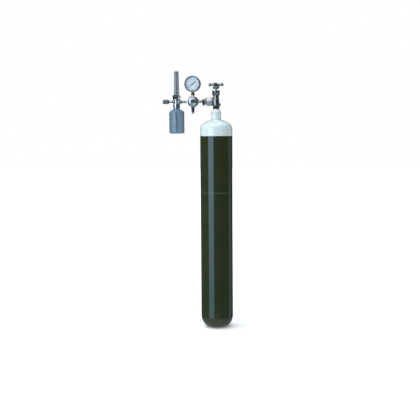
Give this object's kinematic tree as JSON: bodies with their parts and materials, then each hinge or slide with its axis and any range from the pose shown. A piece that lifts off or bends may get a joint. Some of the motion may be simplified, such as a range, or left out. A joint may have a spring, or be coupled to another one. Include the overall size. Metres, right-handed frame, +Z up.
{
  "type": "oxygen cylinder",
  "caption": "Tall steel oxygen cylinder with cross-handle valve, round regulator, dial gauge, tapered flowmeter tube and humidifier bottle.",
  "frame": {"origin": "centre of the cylinder's foot ring, on the floor", "axes": "+Z up the cylinder's axis; the regulator, flowmeter and humidifier reach out along -X; the gauge faces -Y"},
  "size_m": [0.303, 0.14, 1.123],
  "materials": {
    "cylinder_paint": "semi-gloss enamel, white from the shoulder up",
    "ring_paint": "semi-gloss enamel",
    "chrome": "polished, plated brass",
    "valve_chrome": "plated brass, dulled by handling",
    "wheel_metal": "plated casting, dulled by handling",
    "gauge_chrome": "polished, plated steel",
    "brass": "turned",
    "steel": "bright",
    "dark_metal": "blackened",
    "knob_metal": "dark anodised",
    "rubber": "moulded",
    "seal_plastic": "turned",
    "dial_paint": "matt enamel with a printed scale",
    "pointer_paint": "black enamel",
    "lens": "clear",
    "clear_plastic": "clear, moulded",
    "bottle_plastic": "translucent, moulded",
    "tube_plastic": "extruded"
  },
  "bodies": {
    "cylinder": {"cylinder_shell": "cylinder_paint", "neck_ring": "ring_paint", "valve_body": "valve_chrome", "gland_nut": "valve_chrome", "stem_packing": "seal_plastic", "burst_plug": "valve_chrome", "burst_disc": "brass"},
    "handwheel": {"valve_stem": "valve_chrome", "handwheel": "wheel_metal", "handwheel_nut": "valve_chrome"},
    "seat_plug": {"seat_plug": "brass", "seat_disc": "seal_plastic"},
    "union_nut": {"union_nut": "chrome"},
    "poppet": {"poppet": "brass", "diaphragm_plate": "brass"},
    "relief_poppet": {"relief_poppet": "brass"},
    "pointer": {"gauge_pointer": "pointer_paint", "pointer_pinion": "brass"},
    "sector": {"sector_gear": "brass"},
    "link": {"gauge_link": "brass"},
    "float": {"float_ball": "steel"},
    "flow_knob": {"flow_knob": "knob_metal"},
    "needle": {"needle_stem": "steel"},
    "bottle": {"humidifier_bottle": "bottle_plastic"},
    "regulator": {"nipple_seal": "rubber", "inlet_nipple": "chrome", "inlet_filter": "brass", "filter_collar": "dark_metal", "filter_plug": "dark_metal", "regulator_body": "chrome", "regulator_bonnet": "chrome", "diaphragm": "rubber", "main_spring": "steel", "adjusting_screw": "chrome", "seat_nozzle": "brass", "poppet_spring": "steel", "back_cap": "chrome", "relief_body": "dark_metal", "relief_spring": "steel", "relief_cap": "chrome", "gauge_socket": "brass", "gauge_case": "gauge_chrome", "gauge_bezel": "gauge_chrome", "gauge_lens": "lens", "gauge_dial": "dial_paint", "bourdon_tube": "brass", "movement_frame": "brass", "outlet_pipe": "chrome", "pipe_nuts": "chrome", "flowmeter_body": "chrome", "tube_collar": "chrome", "flow_tube_cover": "clear_plastic", "metering_tube": "clear_plastic", "tube_seals": "rubber", "needle_gland": "chrome", "humidifier_lid": "chrome", "lid_gasket": "rubber", "outlet_barb": "chrome", "dip_tube": "tube_plastic", "diffuser": "brass"}
  },
  "joints": [
    {"name": "handwheel_turn", "type": "hinge", "parent": "cylinder", "child": "handwheel", "pos_m": [0, 0, 1.06], "axis": [0, 0, 1], "range_deg": [0, 600]},
    {"name": "seat_plug_lift", "type": "slide", "parent": "handwheel", "child": "seat_plug", "axis": [0, 0, 1], "range_m": [0, 0.00334]},
    {"name": "regulator_draw_off", "type": "slide", "parent": "cylinder", "child": "regulator", "axis": [-1, 0, 0], "range_m": [0, 0.01184]},
    {"name": "union_nut_turn", "type": "hinge", "parent": "regulator", "child": "union_nut", "pos_m": [-0.03, 0, 0.99], "axis": [-1, 0, 0], "range_deg": [0, 2370]},
    {"name": "poppet_open", "type": "slide", "parent": "regulator", "child": "poppet", "axis": [0, 1, 0], "range_m": [0, 0.0008], "stiffness_N_per_m": 800, "springref_m": -0.004, "deforming": ["diaphragm", "main_spring", "poppet_spring"]},
    {"name": "relief_open", "type": "slide", "parent": "regulator", "child": "relief_poppet", "axis": [0, 0, -1], "range_m": [0, 0.0015], "stiffness_N_per_m": 500, "springref_m": -0.004, "deforming": ["relief_spring"]},
    {"name": "pointer_turn", "type": "hinge", "parent": "regulator", "child": "pointer", "pos_m": [-0.1015, 0, 1.0655], "axis": [0, 1, 0], "range_deg": [0, 256]},
    {"name": "sector_turn", "type": "hinge", "parent": "regulator", "child": "sector", "pos_m": [-0.0919, 0, 1.04887], "axis": [0, 1, 0], "range_deg": [-36.57, 0], "stiffness_Nm_per_rad": 0.02, "springref_deg": 17.19},
    {"name": "link_swing", "type": "hinge", "parent": "sector", "child": "link", "pos_m": [-0.08673, 0, 1.04699], "axis": [0, 1, 0], "range_deg": [0, 36.6]},
    {"name": "float_rise", "type": "slide", "parent": "regulator", "child": "float", "axis": [0, 0, 1], "range_m": [0, 0.097]},
    {"name": "flow_knob_turn", "type": "hinge", "parent": "regulator", "child": "flow_knob", "pos_m": [-0.2, 0, 0.99], "axis": [-1, 0, 0], "range_deg": [0, 600]},
    {"name": "needle_draw", "type": "slide", "parent": "flow_knob", "child": "needle", "axis": [-1, 0, 0], "range_m": [0, 0.00151]},
    {"name": "bottle_drop", "type": "slide", "parent": "regulator", "child": "bottle", "axis": [0, 0, -1], "range_m": [0, 0.12]}
  ],
  "couplings": [
    {"joint": "seat_plug_lift", "follows": "handwheel_turn", "m_per_rad": 0.00031831},
    {"joint": "union_nut_turn", "follows": "regulator_draw_off", "rad_per_m": 3490.7},
    {"joint": "pointer_turn", "follows": "sector_turn", "ratio": -7},
    {"joint": "link_swing", "follows": "sector_turn", "ratio": -1},
    {"joint": "needle_draw", "follows": "flow_knob_turn", "m_per_rad": 0.00014324}
  ]
}
